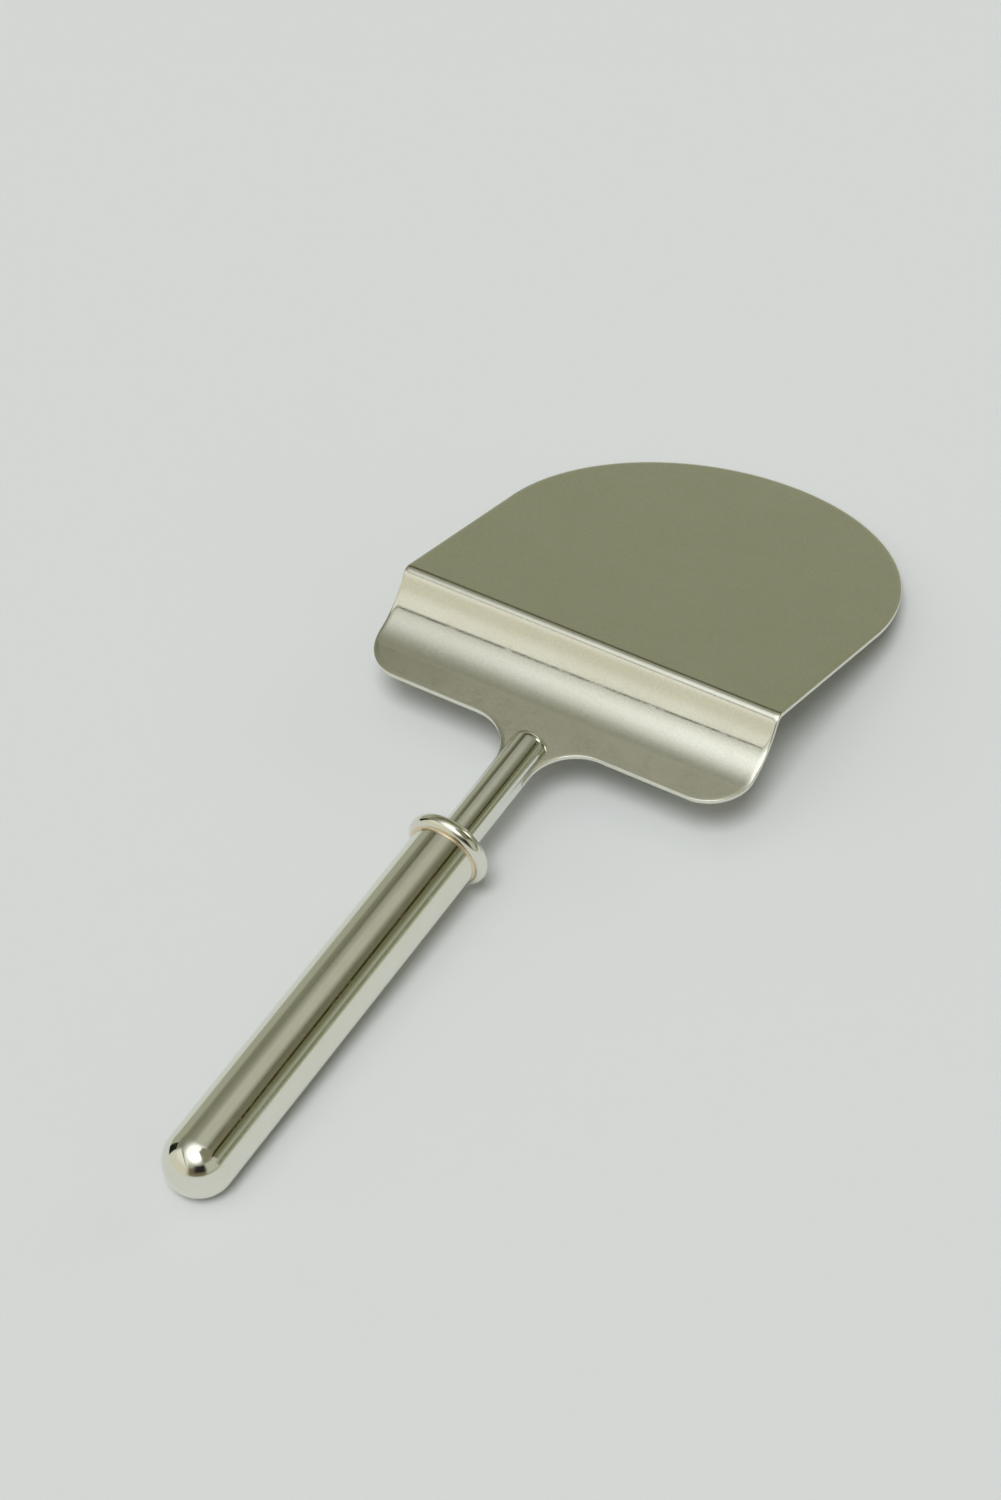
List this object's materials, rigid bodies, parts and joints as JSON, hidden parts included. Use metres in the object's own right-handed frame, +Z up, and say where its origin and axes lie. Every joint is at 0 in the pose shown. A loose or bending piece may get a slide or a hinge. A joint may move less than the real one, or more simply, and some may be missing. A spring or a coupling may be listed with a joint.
{
  "type": "cake server",
  "caption": "Cake server with a broad round-ended bent sheet blade, a rear flange, a slim slotted shank, a collar ring and a round hollow handle.",
  "frame": {"origin": "middle of the server's outline seen from above, on the surface that it lies on", "axes": "+Y along the server from the handle's end to the blade's tip, +Z up from the surface that it lies on, X across the blade"},
  "size_m": [0.1, 0.2552, 0.0274],
  "materials": {
    "polished_silver": "mirror polished silver plate",
    "satin_silver": "fine satin silver plate with polished edges",
    "braze": "thin line of braze, polished with the piece"
  },
  "bodies": {
    "root": {"blade": "satin_silver", "blade_braze": "braze", "shank": "polished_silver", "mouth_plug": "polished_silver", "collar_ring": "polished_silver", "collar_braze": "braze", "handle_tube": "polished_silver", "end_dome": "polished_silver"}
  },
  "joints": []
}
